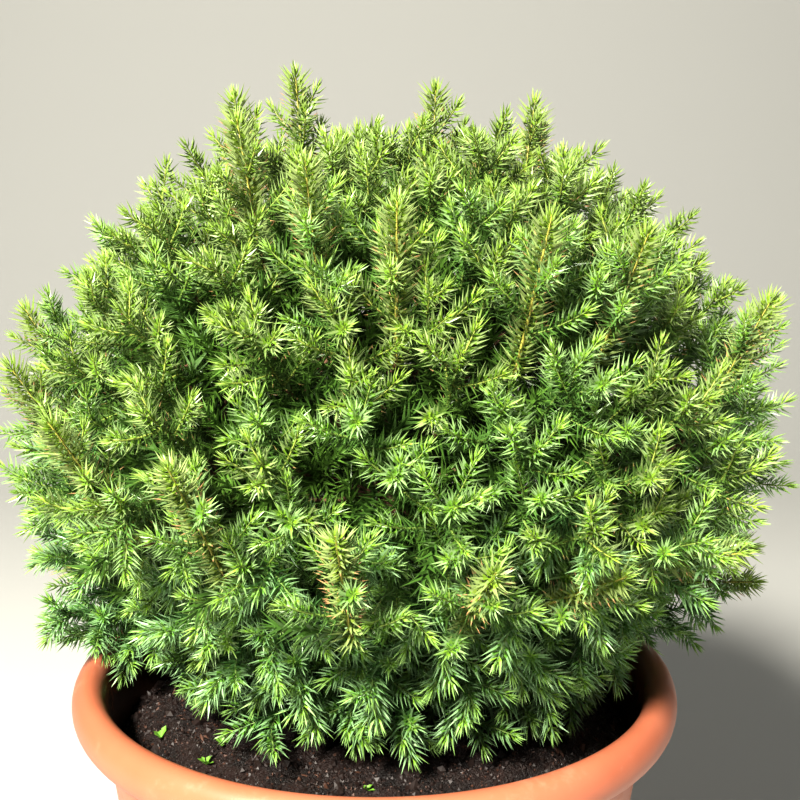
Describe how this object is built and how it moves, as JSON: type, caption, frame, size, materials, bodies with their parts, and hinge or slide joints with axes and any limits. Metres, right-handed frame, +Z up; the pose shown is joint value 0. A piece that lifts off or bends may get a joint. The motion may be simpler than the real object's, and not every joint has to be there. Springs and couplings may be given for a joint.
{
  "type": "potted dwarf conifer",
  "caption": "Dense dome of awl-shaped evergreen needles on a short stem, growing in a round terracotta-coloured plastic patio pot with a rolled rim.",
  "frame": {"origin": "centre of the pot's flat underside", "axes": "+Z up along the pot's axis, -Y towards the side seen from the front"},
  "size_m": [0.4283, 0.4259, 0.6389],
  "materials": {
    "terracotta_plastic": "satin moulded plastic, salmon orange",
    "soil": "moist dark crumbly potting soil",
    "bark": "rough brown stringy bark",
    "needles": "satin living needles, yellow-green at the shoot tips"
  },
  "bodies": {
    "root": {"pot": "terracotta_plastic", "potting_soil": "soil", "trunk": "bark", "bough_shoulder_1": "bark", "bough_shoulder_2": "bark", "bough_shoulder_3": "bark", "bough_shoulder_4": "bark", "bough_shoulder_5": "bark", "bough_shoulder_6": "bark", "bough_flank_1": "bark", "bough_flank_2": "bark", "bough_flank_3": "bark", "bough_flank_4": "bark", "bough_flank_5": "bark", "bough_flank_6": "bark", "bough_flank_7": "bark", "bough_flank_8": "bark", "bough_flank_9": "bark", "bough_skirt_1": "bark", "bough_skirt_2": "bark", "bough_skirt_3": "bark", "bough_skirt_4": "bark", "bough_skirt_5": "bark", "bough_skirt_6": "bark", "bough_skirt_7": "bark", "foliage_top": "needles", "foliage_shoulder_1": "needles", "foliage_shoulder_2": "needles", "foliage_shoulder_3": "needles", "foliage_shoulder_4": "needles", "foliage_shoulder_5": "needles", "foliage_shoulder_6": "needles", "foliage_flank_1": "needles", "foliage_flank_2": "needles", "foliage_flank_3": "needles", "foliage_flank_4": "needles", "foliage_flank_5": "needles", "foliage_flank_6": "needles", "foliage_flank_7": "needles", "foliage_flank_8": "needles", "foliage_flank_9": "needles", "foliage_skirt_1": "needles", "foliage_skirt_2": "needles", "foliage_skirt_3": "needles", "foliage_skirt_4": "needles", "foliage_skirt_5": "needles", "foliage_skirt_6": "needles", "foliage_skirt_7": "needles"}
  },
  "joints": []
}
